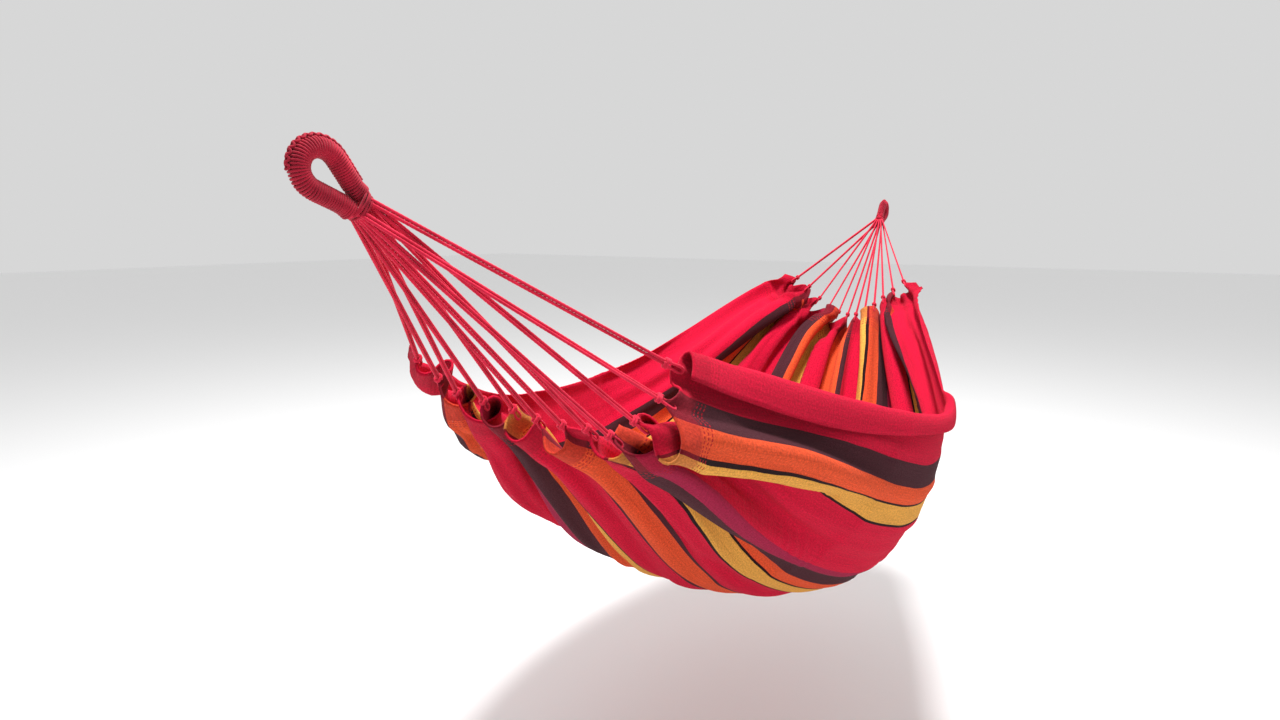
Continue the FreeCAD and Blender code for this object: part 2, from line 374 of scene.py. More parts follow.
def cord_points(index, fan):
    """The route of a doubled cord: down one leg, through its knot, round the bight and back."""
    direction = fan_direction(fan[index])
    aside = bight_side(index, fan)
    upper, lower = neck_starts(index)
    knot = HEAD_NECK + direction * (CORD_REACH - KNOT_SETBACK)
    tip = HEAD_NECK + direction * CORD_REACH
    knots = [knot + aside * KNOT_HALF_GAP, knot - aside * KNOT_HALF_GAP]
    corners = [tip + aside * half_crown(), tip - aside * half_crown()]
    straight = [k + (s - k).normalized() * STRAIGHT_END for k, s in zip(knots, (upper, lower))]
    return [upper, straight[0], knots[0], corners[0], corners[1], knots[1], straight[1], lower]


def doubled_cord(end, index, fan):
    points = cord_points(index, fan)
    if end == "foot":
        points = [at_foot(p) for p in points]
    line = nurbs_line(points, resolution=40)
    fine = even_steps(line, 0.0026)
    made = twisted_tube(fine, CORD_DIAMETER / 2 * 1.04, CORD_LAY, phase=rng.uniform(0, 6))
    piece = add_mesh(f"{end}_cord_{index + 1:02d}_twist", *made, CORD_RED)
    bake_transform(piece)
    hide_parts(f"{end}_cord_{index + 1:02d}")


for end, fan in (("head", HEAD_FAN), ("foot", FOOT_FAN)):
    for index in range(len(fan)):
        doubled_cord(end, index, fan)


# ---------------------------------------------------------------- the whipped loops
def loop_line(first):
    """The loop's centre line, as straight legs round a circular eye."""
    radius = EYE_RADIUS + WHIPPING_RADIUS
    to_centre = LEGS_MEET - EYE_RADIUS
    lean = math.asin(radius / math.hypot(to_centre, LEG_SPREAD)) - math.atan2(LEG_SPREAD, to_centre)
    points = [in_loop(first, LEG_SPREAD), in_loop(LEGS_MEET, LEG_SPREAD)]
    sweep = math.pi / 2 + lean
    steps = 36
    for step in range(steps + 1):
        angle = sweep - 2 * sweep * step / steps
        points.append(in_loop(EYE_RADIUS - radius * math.cos(angle), radius * math.sin(angle)))
    points += [in_loop(LEGS_MEET, -LEG_SPREAD), in_loop(first, -LEG_SPREAD)]
    line = even_steps(np.array([p[:] for p in points]), 0.002)
    for _ in range(6):
        line[1:-1] = (line[:-2] + 2 * line[1:-1] + line[2:]) / 4
    return line


def along_line(line, lengths, at):
    return np.array([np.interp(at, lengths, line[:, k]) for k in range(3)])


def whipping_turns():
    """The close turns of cord round the loop, one long helix."""
    line = loop_line(LEGS_END)
    _, normals, binormals = carried_frames(line, SIDE)
    lengths = np.r_[0, np.cumsum(np.linalg.norm(np.diff(line, axis=0), axis=1))]
    turns = int(lengths[-1] / (WHIP_CORD * 0.97))
    per_turn = 36
    radius = WHIPPING_RADIUS - WHIP_CORD / 2
    path = []
    wobble = [rng.uniform(-1, 1) for _ in range(turns + 2)]
    for i in range(turns * per_turn + 1):
        turn = i / per_turn
        uneven = np.interp(turn, range(turns + 2), wobble)
        shifted = turn + 0.22 * uneven * min(1, turn, turns - turn) * 0.5
        at = (lengths[-1] - WHIP_CORD) * shifted / turns + WHIP_CORD / 2
        angle = 2 * math.pi * turn
        centre = along_line(line, lengths, at)
        normal = along_line(normals, lengths, at)
        binormal = along_line(binormals, lengths, at)
        reach = radius * (1 + 0.012 * uneven)
        path.append(centre + reach * (math.cos(angle) * normal + math.sin(angle) * binormal))
    return twisted_tube(np.array(path), WHIP_CORD / 2 * 1.02, WHIP_LAY, lobes=2, depth=0.12, sides=8)


def core_bundle():
    """The strands inside the whipping, seen only at the legs' ends and through gaps."""
    line = loop_line(LEGS_END + 0.002)
    radius = WHIPPING_RADIUS - WHIP_CORD * 1.05
    return twisted_tube(line, radius, 0.09, lobes=9, depth=0.08, sides=36)


def ridge_hitches():
    """The row of half hitches along the outside of the loop: two strands that cross at every hitch."""
    line = loop_line(LEGS_END - RIDGE_SETBACK)
    tangents, _, _ = carried_frames(line, SIDE)
    lengths = np.r_[0, np.cumsum(np.linalg.norm(np.diff(line, axis=0), axis=1))]
    centre_of_eye = np.array(in_loop(EYE_RADIUS + 0.01, 0)[:])
    parts = []
    start, stop = lengths[-1] * RIDGE_START, lengths[-1] * RIDGE_STOP
    base = WHIPPING_RADIUS + RIDGE_LIFT
    for strand in range(2):
        path = []
        count = int((stop - start) / RIDGE_HITCH * 14)
        for i in range(count + 1):
            at = start + (stop - start) * i / count
            centre = along_line(line, lengths, at)
            tangent = along_line(tangents, lengths, at)
            outward = centre - centre_of_eye
            outward = outward - tangent * (outward @ tangent)
            outward = outward / np.linalg.norm(outward)
            sideways = np.cross(tangent, outward)
            angle = 2 * math.pi * (at - start) / (RIDGE_HITCH * 2) + strand * math.pi
            path.append(centre + outward * (base + RIDGE_HEIGHT * math.cos(2 * angle))
                        + sideways * RIDGE_WIDTH * math.sin(angle))
        parts.append(twisted_tube(np.array(path), WHIP_CORD / 2, WHIP_LAY, lobes=2, sides=8))
    return merged(parts)


def seizing_turns():
    """The untidy binding round the strands, close beyond the ends of the whipped legs."""
    path = []
    turns, per_turn = SEIZING_TURNS, 64
    radius, half = SEIZING_RADIUS, SEIZING_HALF
    rim = 2 * math.pi * radius + 4 * half
    for i in range(turns * per_turn + 1):
        turn = i / per_turn
        walk = (turn % 1.0) * rim
        straight = 2 * half
        arc = math.pi * radius
        if walk < straight:
            across, y = half - walk, radius
        elif walk < straight + arc:
            angle = (walk - straight) / radius
            across, y = -half - radius * math.sin(angle), radius * math.cos(angle)
        elif walk < 2 * straight + arc:
            across, y = -half + (walk - straight - arc), -radius
        else:
            angle = (walk - 2 * straight - arc) / radius
            across, y = half + radius * math.sin(angle), -radius * math.cos(angle)
        lean = SEIZING_LEAN * math.sin(2 * math.pi * (turn + 0.31 * int(turn))) * math.sin(2.3 * turn)
        swell = 1 + SEIZING_SWELL * math.sin(math.pi * turn / turns)
        at = SEIZING_START + SEIZING_STEP * turn + lean
        path.append(np.array(in_loop(at, across * swell, y * swell)[:]))
    return twisted_tube(np.array(path), WHIP_CORD / 2 * 1.05, WHIP_LAY, lobes=2, sides=8)


def neck_strands():
    """The cords' strands between the whipped legs' ends and the place where they fan out."""
    parts = []
    for index in range(CORDS):
        for place, start in enumerate(neck_starts(index)):
            leg = LEG_SPREAD if is_upper(index) else -LEG_SPREAD
            slot_angle = 2 * math.pi * ((index * 2 + place) % CORDS) / CORDS + 0.3
            ring = (WHIPPING_RADIUS - WHIP_CORD) * (0.72 if (index + place) % 2 else 0.4)
            inside = in_loop(LEGS_END - 0.006, leg + ring * math.sin(slot_angle), ring * math.cos(slot_angle))
            knot = HEAD_NECK + fan_direction(HEAD_FAN[index]) * (CORD_REACH - KNOT_SETBACK)
            onward = (knot - start).normalized()
            points = [inside, inside + ALONG * 0.006, start - onward * 0.006, start + onward * 0.002]
            line = even_steps(nurbs_line(points), 0.0022)
            parts.append(twisted_tube(line, CORD_DIAMETER / 2 * 1.03, CORD_LAY, phase=rng.uniform(0, 6)))
    return merged(parts)


def mirrored(points, faces):
    return [at_foot(p) for p in points], [tuple(reversed(f)) for f in faces]


def put_loop_piece(name, made, material, *nodes, slot="whipping"):
    """The same piece on the head loop and, mirrored, on the foot loop."""
    for end in ("head", "foot"):
        points, faces = made if end == "head" else mirrored(*made)
        piece = add_mesh(f"{end}_{name}", points, faces, material)
        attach(piece, f"{end}_loop")
        if nodes:
            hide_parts(*[f"{end}_{node}" for node in nodes])


put_loop_piece("whipping_turns", whipping_turns(), WHIP_RED, "loop_whipping")
put_loop_piece("core_bundle", core_bundle(), CORD_RED, "loop_core", slot="cord")
put_loop_piece("ridge_hitches", ridge_hitches(), WHIP_RED, "loop_ridge")
put_loop_piece("seizing_turns", seizing_turns(), WHIP_RED, "neck_seizing")
put_loop_piece("neck_strands", neck_strands(), CORD_RED, slot="cord")


def knot_turns(index, fan):
    """The knot that closes a bight: turns of the same cord round its two legs."""
    direction = fan_direction(fan[index])
    aside = bight_side(index, fan)
    aside = (aside - direction * aside.dot(direction)).normalized()
    broad = direction.cross(aside)
    centre = HEAD_NECK + direction * (CORD_REACH - KNOT_SETBACK)
    radius = CORD_DIAMETER * 0.98
    straight = 2 * KNOT_HALF_GAP
    arc = math.pi * radius
    rim = 2 * (straight + arc)
    turns, per_turn = 2, 44
    path = []
    for i in range(turns * per_turn + 1):
        turn = i / per_turn
        walk = (turn % 1.0) * rim
        if walk < straight:
            across, out = KNOT_HALF_GAP - walk, radius
        elif walk < straight + arc:
            angle = (walk - straight) / radius
            across, out = -KNOT_HALF_GAP - radius * math.sin(angle), radius * math.cos(angle)
        elif walk < 2 * straight + arc:
            across, out = walk - straight - arc - KNOT_HALF_GAP, -radius
        else:
            angle = (walk - 2 * straight - arc) / radius
            across, out = KNOT_HALF_GAP + radius * math.sin(angle), -radius * math.cos(angle)
        rise = (turn - turns / 2) * CORD_DIAMETER * 0.93 + 0.0012 * math.sin(2 * math.pi * turn)
        path.append(np.array((centre + aside * across + broad * out + direction * rise)[:]))
    return twisted_tube(np.array(path), CORD_DIAMETER / 2 * 0.98, CORD_LAY, sides=10)


for end, fan in (("head", HEAD_FAN), ("foot", FOOT_FAN)):
    made = merged([knot_turns(index, fan) for index in range(len(fan))])
    points, faces = made if end == "head" else mirrored(*made)
    knots = add_mesh(f"{end}_knots", points, faces, CORD_RED)
    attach(knots, "bed")
    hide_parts(f"{end}_cord_knots")


# ---------------------------------------------------------------- the striped cloth
ACROSS_COUNT = 151           # points of the working net, about 12 mm apart
ALONG_COUNT = 187
LEFT_FLAP = 0.040            # cloth beyond the outermost cords
RIGHT_FLAP = 0.040
LAPEL = 0.105                # the -Y rim is folded out by this much over its crest
LAPEL_TURN = 0.0065          # the radius of that fold
LAPEL_RISE = 0.030           # how far the crest stands above the outermost head cord
# where the folds of each end meet: how far across the flat cloth, at which cord (counted from 0 at +Y, with
# parts of a gap), and the way of the fold before it, 1 outwards and -1 inwards
HEAD_FOLDS = ((LEFT_FLAP, 0, 1), (0.105, 0.75, 1), (0.19, 1, -1), (0.27, 1.8, 1), (0.36, 2, -1),
              (0.465, 2.85, 1), (0.54, 3, -1), (0.63, 3.6, 1), (0.70, 4, -1), (0.80, 4.75, 1), (0.83, 5, -1),
              (0.93, 5.8, 1), (0.96, 6, -1), (1.01, 7, 1), (1.10, 7.8, 1), (1.185, 8, -1),
              (1.285, 8.8, 1), (1.39, 9, -1), (1.46, 9.15, -1), (1.585, 9.95, 1), (1.60, 10, -1),
              (CLOTH_WIDTH - LAPEL, 11, 1))
FOOT_FOLDS = ((LEFT_FLAP, 0, 1), (0.105, 0.5, 1), (0.17, 1, -1), (0.235, 1.6, -1), (0.40, 2, 1),
              (0.45, 2.5, -1), (0.56, 3, 1), (0.674, 4, -1), (0.76, 4.5, 1), (0.82, 5, -1), (0.915, 5.6, 1),
              (0.955, 6, -1), (1.06, 7, 1), (1.155, 8, -1), (1.38, 8.75, 1), (1.41, 9, -1), (1.555, 9.5, 1),
              (1.62, 10, -1), (1.69, 10.5, 1), (CLOTH_WIDTH - RIGHT_FLAP, 11, 1))
LEFT_BULGE, RIGHT_BULGE = 0.320, 0.288
LEFT_SAG, RIGHT_SAG, MIDDLE_SAG = 0.250, 0.225, 0.710
LEFT_FULLNESS = 0.58
RIGHT_WIDEST, RIGHT_SHARPNESS, RIGHT_FOOT_FULLNESS = 0.487, 9.0, 0.70
LEFT_LOWEST, RIGHT_LOWEST, MIDDLE_SHARPNESS = 0.27, 0.70, 5.5
LEFT_FLATNESS, RIGHT_FLATNESS = 0.55, 0.58
CLOTH_SHEET = 0.0016
END_HEM = 0.0050
SIDE_HEM = 0.0030
LAPEL_SWEEP = math.pi * 0.94  # how far round the folded rim turns
# shares of the length, from the head: where the folded rim narrows, where it ends and where it unrolls
LAPEL_NARROWS, LAPEL_ENDS, LAPEL_UNROLLS = (0.10, 0.48), (0.50, 0.60), (0.52, 0.60)
LAPEL_NARROWING = 0.45
LAPEL_RISE_END = 0.35
FLAP_END = 0.25              # the flaps beyond the outermost cords are gone at this share from an end
FOLDS_SPREAD = 0.30          # and here the folds no longer keep to their cords
END_HOLD, MIDDLE_HOLD, LAPEL_HOLD = 0.0010, 0.02, 0.12
HOLD_GROWS = (0.18, 0.42)
SHEAR_STIFFNESS = 0.10
# the net's stiffness in bending: steps apart, and stiffness
ACROSS_BENDING = ((2, 0.12), (4, 0.06), (7, 0.03))
ALONG_BENDING = ((2, 0.20), (5, 0.15))
PIN_REACHES = (-0.025, -0.0125, 0.0005)      # the first three rows at a cord, from its tip
SETTLING_ROUNDS = 260
# wavelength and depth of the long shallow folds, and how far from an end they fade
SHALLOW_FOLDS = ((0.150, 0.0065), (0.094, 0.0068), (0.061, 0.0056), (0.041, 0.0022))
SHALLOW_REACH = 0.36


def smoothstep(low, high, value):
    share = np.clip((value - low) / (high - low), 0, 1)
    return share * share * (3 - 2 * share)


def peaked(share, peak, sharpness, fullness=1.0):
    """A rise from 0 to 1 at the peak and a fall to 0, both nearly straight, with a rounded turn between.

    A fullness under 1 bends the fall outwards.
    """
    rise, fall = share / peak, ((1 - share) / (1 - peak)) ** fullness
    height = -np.logaddexp(-sharpness * rise, -sharpness * fall) / sharpness
    low = -math.log1p(math.exp(-sharpness)) / sharpness
    high = 1 - math.log(2) / sharpness
    return np.maximum((height - low) / (high - low), 0)


def gathered_edge(across, fan, reach):
    """Points of the line through the cords' ends, at shares across from the +Y side to the -Y side."""
    angles = np.radians(np.array(fan, float))
    place = np.clip(across, 0, 1) * (len(fan) - 1)
    sideways = np.interp(place, range(len(fan)), angles[:, 0])
    fall = np.interp(place, range(len(fan)), angles[:, 1])
    away = np.stack([np.cos(fall) * np.cos(sideways), np.cos(fall) * np.sin(sideways), -np.sin(fall)], -1)
    return np.array(HEAD_NECK[:]) + away * reach


def hung_surface(across, along):
    """The smooth shape the cloth hangs in, for arrays of shares across and along it."""
    reach = CORD_REACH + 0.001
    head = gathered_edge(across, HEAD_FAN, reach)
    foot = gathered_edge(across, FOOT_FAN, reach)
    foot[..., 0] = MIRROR_X - foot[..., 0]
    points = head * (1 - along)[..., None] + foot * along[..., None]
    side = np.cos(across * math.pi)
    rightness = smoothstep(-0.5, 0.5, -side)
    edges = np.sin(math.pi * along) ** LEFT_FULLNESS * (1 - rightness)
    edges = edges + peaked(along, RIGHT_WIDEST, RIGHT_SHARPNESS, RIGHT_FOOT_FULLNESS) * rightness
    lowest = LEFT_LOWEST * (1 - across) + RIGHT_LOWEST * across
    middle = peaked(along, lowest, MIDDLE_SHARPNESS)
    bulge = np.where(side > 0, LEFT_BULGE, RIGHT_BULGE)
    sag = np.where(side > 0, LEFT_SAG, RIGHT_SAG)
    basin = np.sin(across * math.pi) ** np.where(side > 0, LEFT_FLATNESS, RIGHT_FLATNESS)
    points[..., 1] += edges * bulge * side
    points[..., 2] -= middle * MIDDLE_SAG * basin + edges * sag * (1 - basin)
    return points


def meander_table():
    """How hard a gather's line has to swing for its ends to keep a given share of its length."""
    swings = np.linspace(0, 2.2, 221)
    turn = np.linspace(0, 1, 201)
    kept = np.array([np.trapz(np.cos(s * np.sin(2 * math.pi * turn)), turn) for s in swings])
    return kept, swings


MEANDER = meander_table()


def folded_offsets(width_at, bounds, ways, room):
    """How far each point of a gathered line is ahead of its even place, and how far out of it.

    room is the distance each fold has to fit in.
    """
    widths = np.diff(bounds)
    swing = np.interp(-np.clip(room / widths, 0, 1), -MEANDER[0], MEANDER[1])
    fine = np.linspace(bounds[0], bounds[-1], 3001)
    number = np.clip(np.searchsorted(bounds, fine, side="right") - 1, 0, len(ways) - 1)
    local = (fine - bounds[number]) / widths[number]
    direction = swing[number] * np.sin(2 * math.pi * local) * ways[number]
    step = fine[1] - fine[0]
    ahead = np.r_[0, np.cumsum(np.cos(direction[1:]) * step)]
    up = np.r_[0, np.cumsum(np.sin(direction[1:]) * step)]
    even = np.interp(fine, bounds, np.r_[0, np.cumsum(room)])
    gone = np.interp(bounds, fine, ahead)
    ahead = ahead - even - np.interp(fine, bounds, gone - np.r_[0, np.cumsum(room)])
    return np.interp(width_at, fine, ahead), np.interp(width_at, fine, up)


def drape_row(v, width_at):
    """One line across the cloth at its true width, gathered where its room is too narrow."""
    near_end = min(v, 1 - v)
    ends = 1 - smoothstep(0.0, FLAP_END, near_end)
    left = LEFT_FLAP * ends
    lapel = LAPEL * (1 - LAPEL_NARROWING * smoothstep(*LAPEL_NARROWS, v)) * (1 - smoothstep(*LAPEL_ENDS, v))
    right = lapel if v < LAPEL_ENDS[1] else RIGHT_FLAP * ends
    rolled = 1 - smoothstep(*LAPEL_UNROLLS, v)
    rise = LAPEL_RISE * (1 - smoothstep(0.0, LAPEL_RISE_END, v))
    crest = CLOTH_WIDTH - right
    fine = np.linspace(0, 1, 801)
    base = hung_surface(fine, np.full_like(fine, v))
    lengths = np.r_[0, np.cumsum(np.linalg.norm(np.diff(base, axis=0), axis=1))]
    folds = np.array(HEAD_FOLDS if v < 0.5 else FOOT_FOLDS)
    bounds, held, ways = folds[:, 0], folds[:, 1] / folds[-1, 1], folds[1:, 2]
    scaled = left + (bounds - bounds[0]) * (crest - left) / (bounds[-1] - bounds[0])
    spread = smoothstep(0.0, FOLDS_SPREAD, near_end)
    even = (scaled - left) / (crest - left)
    shares = held * (1 - spread) + even * spread
    place = np.interp(np.clip(width_at, left, crest), scaled, shares)
    share = np.interp(place * lengths[-1], lengths, fine)
    points = hung_surface(share, np.full_like(share, v))
    low = hung_surface(np.clip(share - 0.012, 0, 1), np.full_like(share, v))
    high = hung_surface(np.clip(share + 0.012, 0, 1), np.full_like(share, v))
    tangent = (high - low) / np.linalg.norm(high - low, axis=1)[:, None]
    back = hung_surface(share, np.full_like(share, max(v - 0.02, 0)))
    onward = hung_surface(share, np.full_like(share, min(v + 0.02, 1)))
    outward = np.cross(onward - back, tangent)
    outward /= np.linalg.norm(outward, axis=1)[:, None]
    ahead, up = folded_offsets(np.clip(width_at, left, crest), scaled, ways, np.diff(shares) * lengths[-1])
    # away from the cords the folds stand about the hung surface, not all outside it
    inward = (0.4 * up.mean() + 0.5 * up.max()) * smoothstep(0.0, 0.08, near_end)
    up -= inward * (1.3 - 0.6 * share if v < 0.5 else 0.5)
    points += tangent * ahead[:, None] + outward * up[:, None]
    droop = np.array((0.0, 0.0, -0.55 if v > 0.5 else 0.0)) * ends
    points += tangent[0] * (np.minimum(width_at - left, 0))[:, None]
    over = np.maximum(width_at - crest, 0)
    turning = np.maximum(over - rise, 0)
    angle = np.minimum(turning / LAPEL_TURN, LAPEL_SWEEP)
    down = np.maximum(turning - LAPEL_SWEEP * LAPEL_TURN, 0)
    shift_up = np.minimum(over, rise) + LAPEL_TURN * np.sin(angle) - down
    shift_out = LAPEL_TURN * (1 - np.cos(angle)) + down * 0.12
    turned = tangent[-1] * shift_up[:, None] + outward[-1] * shift_out[:, None]
    beyond = tangent[-1] + droop
    straight = beyond / np.linalg.norm(beyond) * over[:, None]
    return points + turned * rolled + straight * (1 - rolled)


def first_drape():
    """The cloth at its true width: smooth over the middle, gathered between the cords at both ends."""
    width_at = np.linspace(0, CLOTH_WIDTH, ACROSS_COUNT)
    rows = [drape_row(v, width_at) for v in np.linspace(0, 1, ALONG_COUNT)]
    return np.array(rows)


def cloth_pins():
    """Where each cord holds the cloth: rows and columns of the net, and their places."""
    rows, columns, places = [], [], []
    for end, fan, folds in (("head", HEAD_FAN, HEAD_FOLDS), ("foot", FOOT_FAN, FOOT_FOLDS)):
        pins = [across for across, cord, _ in folds if cord == int(cord)]
        for angles, pin in zip(fan, pins):
            column = int(round(pin / CLOTH_WIDTH * (ACROSS_COUNT - 1)))
            direction = fan_direction(angles)
            for depth, reach in enumerate(PIN_REACHES):
                place = HEAD_NECK + direction * (CORD_REACH + reach)
                if end == "foot":
                    place = at_foot(place)
                rows.append(depth if end == "head" else ALONG_COUNT - 1 - depth)
                columns.append(column)
                places.append(place[:])
    return np.array(rows), np.array(columns), np.array(places)


def pull_pair(net, first, second, rest, stiffness):
    """Bring pairs of points of the net nearer to their resting distance."""
    a, b = net[first], net[second]
    gap = b - a
    length = np.linalg.norm(gap, axis=-1, keepdims=True)
    excess = length - rest
    shift = gap * (0.5 * stiffness * excess / np.maximum(length, 1e-9))
    net[first] = a + shift
    net[second] = b - shift


def even_along(target):
    """The distance between the net's points along the cloth, smooth in both directions."""
    rest = np.linalg.norm(np.diff(target, axis=0), axis=2)
    for _ in range(30):
        padded = np.pad(rest, ((0, 0), (3, 3)), mode="edge")
        rest = sum(padded[:, k:k + rest.shape[1]] for k in range(7)) / 7
    padded = np.pad(rest, ((3, 3), (0, 0)), mode="edge")
    rest = sum(padded[k:k + rest.shape[0]] for k in range(7)) / 7
    return rest[..., None]


def settle(net, target, rounds):
    """Let the net of cloth find its own folds between the cords."""
    across_rest = CLOTH_WIDTH / (ACROSS_COUNT - 1)
    along_rest = even_along(target)
    rows, columns, places = cloth_pins()
    v = np.linspace(0, 1, ALONG_COUNT)
    hold = END_HOLD + MIDDLE_HOLD * smoothstep(*HOLD_GROWS, np.minimum(v, 1 - v))
    hold = hold[:, None, None] * np.ones((1, ACROSS_COUNT, 1))
    lapel_columns = int(LAPEL / across_rest) + 2
    hold[:, -lapel_columns:] = np.maximum(hold[:, -lapel_columns:], LAPEL_HOLD)
    for _ in range(rounds):
        net += (target - net) * hold
        for start in (0, 1):
            pull_pair(net, (slice(None), slice(start, ACROSS_COUNT - 1, 2)),
                      (slice(None), slice(start + 1, ACROSS_COUNT, 2)), across_rest, 1.0)
            pull_pair(net, (slice(start, ALONG_COUNT - 1, 2), slice(None)),
                      (slice(start + 1, ALONG_COUNT, 2), slice(None)), along_rest[start::2], 0.9)
            first_rows = slice(start, ALONG_COUNT - 1, 2)
            second_rows = slice(start + 1, ALONG_COUNT, 2)
            diagonal = np.hypot(across_rest, along_rest[start::2, :-1])
            for first, second in ((slice(0, -1), slice(1, None)), (slice(1, None), slice(0, -1))):
                pull_pair(net, (first_rows, first), (second_rows, second), diagonal, SHEAR_STIFFNESS)
        for reach, stiffness in ACROSS_BENDING:
            for start in range(reach):
                for low in (start, start + reach):
                    pull_pair(net, (slice(None), slice(low, ACROSS_COUNT - reach, 2 * reach)),
                              (slice(None), slice(low + reach, ACROSS_COUNT, 2 * reach)),
                              across_rest * reach, stiffness)
        for reach, stiffness in ALONG_BENDING:
            for start in range(reach):
                for low in (start, start + reach):
                    first = (slice(low, ALONG_COUNT - reach, 2 * reach), slice(None))
                    second = (slice(low + reach, ALONG_COUNT, 2 * reach), slice(None))
                    rest = along_rest[low:ALONG_COUNT - reach:2 * reach] * reach
                    pull_pair(net, first, second, rest, stiffness)
        net[rows, columns] = places
    return net


cloth_target = first_drape()
cloth_net = settle(cloth_target.copy(), cloth_target, SETTLING_ROUNDS)


def soft_folds(net):
    """Long shallow folds that fan out from the cords, deepest near the ends."""
    width_at = np.linspace(0, CLOTH_WIDTH, ACROSS_COUNT)[None, :]
    v = np.linspace(0, 1, ALONG_COUNT)[:, None]
    height = np.zeros((ALONG_COUNT, ACROSS_COUNT))
    for wavelength, depth in SHALLOW_FOLDS:
        for end in (0, 1):
            phase, lean = rng.uniform(0, 6.28), rng.uniform(-0.15, 0.15)
            reach = np.abs(v - end)
            envelope = smoothstep(0.0, 0.05, reach) * np.exp(-(reach / SHALLOW_REACH) ** 1.5)
            height += depth * envelope * np.sin(2 * math.pi * (width_at + lean * reach) / wavelength + phase)
    gradient_along = np.gradient(net, axis=0)
    gradient_across = np.gradient(net, axis=1)
    normals = np.cross(gradient_across, gradient_along)
    normals /= np.maximum(np.linalg.norm(normals, axis=2, keepdims=True), 1e-12)
    clear = np.clip((CLOTH_WIDTH - LAPEL - 0.02 - width_at) / 0.06, 0, 1)
    return net + normals * (height * clear)[..., None]


cloth_net = soft_folds(cloth_net)


def finer(net, factor):
    """The same net with more points, on smooth lines through the ones it had."""
    for axis in (0, 1):
        net = np.moveaxis(net, axis, 0)
        count = len(net)
        at = np.linspace(0, count - 1, int((count - 1) * factor) + 1)
        base = np.clip(np.floor(at).astype(int), 0, count - 2)
        t = (at - base)[:, None, None]
        padded = np.concatenate([2 * net[:1] - net[1:2], net, 2 * net[-1:] - net[-2:-1]])
        p0, p1, p2, p3 = (padded[base + k] for k in range(4))
        net = 0.5 * ((2 * p1) + (p2 - p0) * t + (2 * p0 - 5 * p1 + 4 * p2 - p3) * t ** 2
                     + (3 * p1 - p0 - 3 * p2 + p3) * t ** 3)
        net = np.moveaxis(net, 0, axis)
    return net


def cloth_mesh(net):
    """The cloth as a thin closed sheet, each point knowing its place on the flat cloth."""
    along_count, across_count = net.shape[:2]
    gradient_along = np.gradient(net, axis=0)
    gradient_across = np.gradient(net, axis=1)
    normals = np.cross(gradient_across, gradient_along)
    normals /= np.maximum(np.linalg.norm(normals, axis=2, keepdims=True), 1e-12)
    faces = []
    size = along_count * across_count
    for layer in (0, 1):
        base = layer * size
        for i in range(along_count - 1):
            for j in range(across_count - 1):
                quad = (base + i * across_count + j, base + i * across_count + j + 1,
                        base + (i + 1) * across_count + j + 1, base + (i + 1) * across_count + j)
                faces.append(quad if layer == 0 else tuple(reversed(quad)))
    rim = [(0, j) for j in range(across_count - 1)] + [(i, across_count - 1) for i in range(along_count - 1)]
    rim += [(along_count - 1, j) for j in range(across_count - 1, 0, -1)]
    rim += [(i, 0) for i in range(along_count - 1, 0, -1)]
    ring = [i * across_count + j for i, j in rim]
    for k, here in enumerate(ring):
        after = ring[(k + 1) % len(ring)]
        faces.append((after, here, here + size, after + size))
    half = np.full((along_count, across_count, 1), CLOTH_SHEET / 2)
    half[[0, -1]] = END_HEM / 2
    half[:, [0, -1]] = SIDE_HEM / 2
    points = np.concatenate([(net + normals * half).reshape(-1, 3), (net - normals * half).reshape(-1, 3)])
    along = np.linspace(0, CLOTH_LENGTH, along_count)
    across = np.linspace(0, CLOTH_WIDTH, across_count)
    flat = np.stack(np.meshgrid(along, across, indexing="ij")[::-1], -1).reshape(-1, 2)
    return points, faces, np.concatenate([flat, flat])


# widths of the woven bands from the middle to a rim, in stripes' widths
BANDS = (("orange", 0.75), ("maroon", 0.3), ("red", 1.95), ("black", 0.13), ("yellow", 1.0),
         ("black", 0.16), ("orange", 0.92), ("maroon", 1.0), ("crimson", 0.7), ("red", 3.46),
         ("black", 0.13), ("yellow", 1.02), ("black", 0.16), ("orange", 0.92), ("maroon", 1.0), ("red", 3.3))
DYES = {"orange": rgb(226, 82, 44), "maroon": rgb(74, 34, 42), "red": rgb(206, 14, 54),
        "black": rgb(34, 14, 18), "yellow": rgb(226, 162, 72), "crimson": rgb(160, 28, 66)}


WEFT_END = 0.058             # the red weft shows over this much at each end, and the floats start there
FLOAT_PITCH, FLOAT_ROWS_END = 0.011, 0.091
FLOAT_STEP = 0.0075
WARP_STEP, WEFT_STEP = 0.0017, 0.0021


